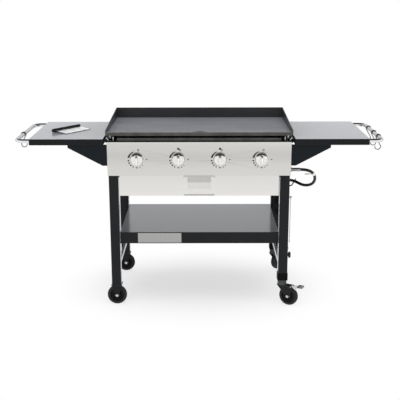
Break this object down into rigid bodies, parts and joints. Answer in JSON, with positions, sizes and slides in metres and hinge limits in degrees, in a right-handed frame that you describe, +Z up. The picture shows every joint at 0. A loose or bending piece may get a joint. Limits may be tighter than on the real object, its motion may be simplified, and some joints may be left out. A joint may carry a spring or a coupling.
{
  "type": "outdoor gas griddle station",
  "caption": "Wheeled outdoor gas griddle on a leg frame, with a walled steel plate, knobs on a front panel, side shelves with rails, a low shelf and casters.",
  "frame": {"origin": "on the floor under the middle of the object's box, hose and regulator left out", "axes": "+X to the right of someone standing at the knobs, +Y away from them, +Z up"},
  "size_m": [1.7948, 0.6544, 0.918],
  "materials": {
    "griddle_steel": "seasoned rolled steel, smooth and lightly oiled",
    "zinc": "bright zinc plate",
    "galvanised": "plain galvanised sheet",
    "black_paint": "black powder coat, semi gloss",
    "stainless": "fine horizontal brushing",
    "steel_bar": "plain turned steel",
    "brass": "cast and machined",
    "chrome": "bright chrome plate",
    "ceramic": "white glazed ceramic",
    "black_plastic": "moulded, fine texture",
    "pedal_plastic": "moulded grey",
    "caster_rubber": "matt black with a grey plastic hub",
    "hose_rubber": "smooth black",
    "regulator_zinc": "die cast, grey coat"
  },
  "bodies": {
    "station": {"bolts_and_peg": "zinc", "bottom_shelf": "black_paint", "burner_1": "stainless", "burner_2": "stainless", "burner_3": "stainless", "burner_4": "stainless", "control_panel": "stainless", "firebox_front_wall": "galvanised", "firebox_rear_wall": "black_paint", "firebox_side_walls": "black_paint", "fixed_caster_forks": "black_paint", "front_left_leg": "black_paint", "front_right_leg": "black_paint", "gas_hose": "hose_rubber", "gas_manifold": "steel_bar", "gas_valves": "brass", "grease_chute": "galvanised", "heat_shield": "galvanised", "hose_fitting": "zinc", "hose_hook": "black_paint", "igniter_electrodes": "ceramic", "left_handle": "chrome", "left_side_shelf": "black_paint", "leg_boots": "black_plastic", "lower_front_panel": "stainless", "lower_side_rails": "black_paint", "rear_left_leg": "black_paint", "rear_right_leg": "black_paint", "regulator": "regulator_zinc", "right_handle": "chrome", "right_side_shelf": "black_paint", "shelf_gussets": "black_paint", "tray_runners": "galvanised"},
    "griddle": {"griddle_plate": "griddle_steel", "griddle_feet": "zinc"},
    "scraper": {"scraper_grip": "black_plastic", "scraper_blade": "stainless"},
    "tray": {"grease_tray": "stainless"},
    "stem_1": {"valve_stem_1": "steel_bar"},
    "knob_1": {"knob_1": "chrome"},
    "stem_2": {"valve_stem_2": "steel_bar"},
    "knob_2": {"knob_2": "chrome"},
    "stem_3": {"valve_stem_3": "steel_bar"},
    "knob_3": {"knob_3": "chrome"},
    "stem_4": {"valve_stem_4": "steel_bar"},
    "knob_4": {"knob_4": "chrome"},
    "left_hook": {"left_hook": "chrome"},
    "right_hook_1": {"right_hook_1": "chrome"},
    "right_hook_2": {"right_hook_2": "chrome"},
    "right_hook_3": {"right_hook_3": "chrome"},
    "front_left_wheel": {"front_left_wheel": "caster_rubber"},
    "rear_left_wheel": {"rear_left_wheel": "caster_rubber"},
    "front_right_fork": {"front_right_fork": "black_paint"},
    "front_right_wheel": {"front_right_wheel": "caster_rubber"},
    "front_right_brake": {"front_right_brake": "pedal_plastic"},
    "rear_right_fork": {"rear_right_fork": "black_paint"},
    "rear_right_wheel": {"rear_right_wheel": "caster_rubber"},
    "rear_right_brake": {"rear_right_brake": "pedal_plastic"},
    "lighting_rod": {"lighting_rod": "zinc"},
    "tank_screw": {"tank_screw": "black_plastic"}
  },
  "joints": [
    {"name": "griddle_lift", "type": "slide", "parent": "station", "child": "griddle", "axis": [0, 0, 1], "range_m": [0, 0.25]},
    {"name": "scraper_lift", "type": "slide", "parent": "station", "child": "scraper", "axis": [0, 0, 1], "range_m": [0, 0.2]},
    {"name": "tray_pull", "type": "slide", "parent": "station", "child": "tray", "axis": [0, -1, 0], "range_m": [0, 0.14]},
    {"name": "stem_push_1", "type": "slide", "parent": "station", "child": "stem_1", "axis": [0, 1, 0], "range_m": [0, 0.0035], "stiffness_N_per_m": 600, "springref_m": -0.002},
    {"name": "knob_turn_1", "type": "hinge", "parent": "stem_1", "child": "knob_1", "pos_m": [-0.3, -0.293, 0.751], "axis": [0, -1, 0], "range_deg": [0, 215]},
    {"name": "stem_push_2", "type": "slide", "parent": "station", "child": "stem_2", "axis": [0, 1, 0], "range_m": [0, 0.0035], "stiffness_N_per_m": 600, "springref_m": -0.002},
    {"name": "knob_turn_2", "type": "hinge", "parent": "stem_2", "child": "knob_2", "pos_m": [-0.1, -0.293, 0.751], "axis": [0, -1, 0], "range_deg": [0, 215]},
    {"name": "stem_push_3", "type": "slide", "parent": "station", "child": "stem_3", "axis": [0, 1, 0], "range_m": [0, 0.0035], "stiffness_N_per_m": 600, "springref_m": -0.002},
    {"name": "knob_turn_3", "type": "hinge", "parent": "stem_3", "child": "knob_3", "pos_m": [0.1, -0.293, 0.751], "axis": [0, -1, 0], "range_deg": [0, 215]},
    {"name": "stem_push_4", "type": "slide", "parent": "station", "child": "stem_4", "axis": [0, 1, 0], "range_m": [0, 0.0035], "stiffness_N_per_m": 600, "springref_m": -0.002},
    {"name": "knob_turn_4", "type": "hinge", "parent": "stem_4", "child": "knob_4", "pos_m": [0.3, -0.293, 0.751], "axis": [0, -1, 0], "range_deg": [0, 215]},
    {"name": "left_hook_swing", "type": "hinge", "parent": "station", "child": "left_hook", "pos_m": [-0.882, -0.085, 0.838], "axis": [0, 1, 0], "range_deg": [-25, 25]},
    {"name": "right_hook_1_swing", "type": "hinge", "parent": "station", "child": "right_hook_1", "pos_m": [0.882, 0.085, 0.838], "axis": [0, 1, 0], "range_deg": [-25, 25]},
    {"name": "right_hook_2_swing", "type": "hinge", "parent": "station", "child": "right_hook_2", "pos_m": [0.882, -0.048, 0.838], "axis": [0, 1, 0], "range_deg": [-25, 25]},
    {"name": "right_hook_3_swing", "type": "hinge", "parent": "station", "child": "right_hook_3", "pos_m": [0.882, -0.16, 0.838], "axis": [0, 1, 0], "range_deg": [-25, 25]},
    {"name": "front_left_wheel_roll", "type": "hinge", "parent": "station", "child": "front_left_wheel", "pos_m": [-0.4158, -0.257, 0.049], "axis": [0, 1, 0], "continuous": true},
    {"name": "rear_left_wheel_roll", "type": "hinge", "parent": "station", "child": "rear_left_wheel", "pos_m": [-0.4158, 0.236, 0.049], "axis": [0, 1, 0], "continuous": true},
    {"name": "front_right_swivel", "type": "hinge", "parent": "station", "child": "front_right_fork", "pos_m": [0.4158, -0.257, 0.1], "axis": [0, 0, 1], "continuous": true},
    {"name": "front_right_wheel_roll", "type": "hinge", "parent": "front_right_fork", "child": "front_right_wheel", "pos_m": [0.44871, -0.276, 0.049], "axis": [-0.5, -0.866, 0], "continuous": true},
    {"name": "front_right_brake_press", "type": "hinge", "parent": "front_right_fork", "child": "front_right_brake", "pos_m": [0.46257, -0.284, 0.1], "axis": [0.5, 0.866, 0], "range_deg": [0, 8]},
    {"name": "rear_right_swivel", "type": "hinge", "parent": "station", "child": "rear_right_fork", "pos_m": [0.4158, 0.236, 0.1], "axis": [0, 0, 1], "continuous": true},
    {"name": "rear_right_wheel_roll", "type": "hinge", "parent": "rear_right_fork", "child": "rear_right_wheel", "pos_m": [0.44267, 0.26287, 0.049], "axis": [0.7071, -0.7071, 0], "continuous": true},
    {"name": "rear_right_brake_press", "type": "hinge", "parent": "rear_right_fork", "child": "rear_right_brake", "pos_m": [0.45398, 0.27418, 0.1], "axis": [-0.7071, 0.7071, 0], "range_deg": [0, 8]},
    {"name": "lighting_rod_swing", "type": "hinge", "parent": "station", "child": "lighting_rod", "pos_m": [0.4478, -0.257, 0.556], "axis": [1, 0, 0], "range_deg": [-30, 30]},
    {"name": "tank_screw_turn", "type": "hinge", "parent": "station", "child": "tank_screw", "pos_m": [0.4393, -0.257, 0.258], "axis": [1, 0, 0], "range_deg": [0, 720]}
  ]
}
